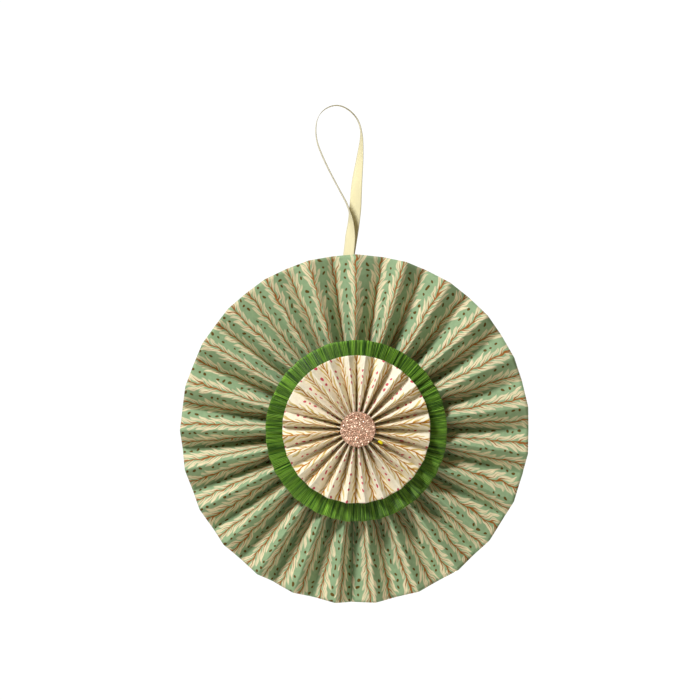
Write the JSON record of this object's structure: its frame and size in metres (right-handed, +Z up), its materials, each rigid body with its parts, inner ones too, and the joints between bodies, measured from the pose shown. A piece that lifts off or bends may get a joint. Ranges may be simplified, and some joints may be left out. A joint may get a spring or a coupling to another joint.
{
  "type": "paper fan rosette",
  "caption": "Round hanging decoration of two stacked pleated paper fans with a crepe frill between them, a glitter centre and a ribbon loop.",
  "frame": {"origin": "inside of the top of the ribbon loop, where the hook carries it", "axes": "+Z up as it hangs; -Y is the decorated front; the fans' hub axis runs along Y, 10.8 mm to +X and 185.4 mm below the origin"},
  "size_m": [0.2, 0.0288, 0.2859],
  "materials": {
    "outer_paper": "printed, matte, sage green with cream leaves",
    "inner_paper": "printed, matte, ivory with small leaves",
    "crepe_paper": "crinkled, matte, deep green",
    "plain_card": "uncoated white card",
    "glitter_card": "rose gold glitter",
    "hot_melt_glue": "cloudy, set hot melt",
    "satin_ribbon": "satin, pale cream yellow"
  },
  "bodies": {
    "root": {"outer_fan_right": "outer_paper", "outer_fan_left": "outer_paper", "outer_hub_glue": "hot_melt_glue", "back_disc": "plain_card", "crepe_frill": "crepe_paper", "inner_fan": "inner_paper", "inner_hub_glue": "hot_melt_glue", "glitter_disc": "glitter_card", "hanging_ribbon": "satin_ribbon"}
  },
  "joints": []
}
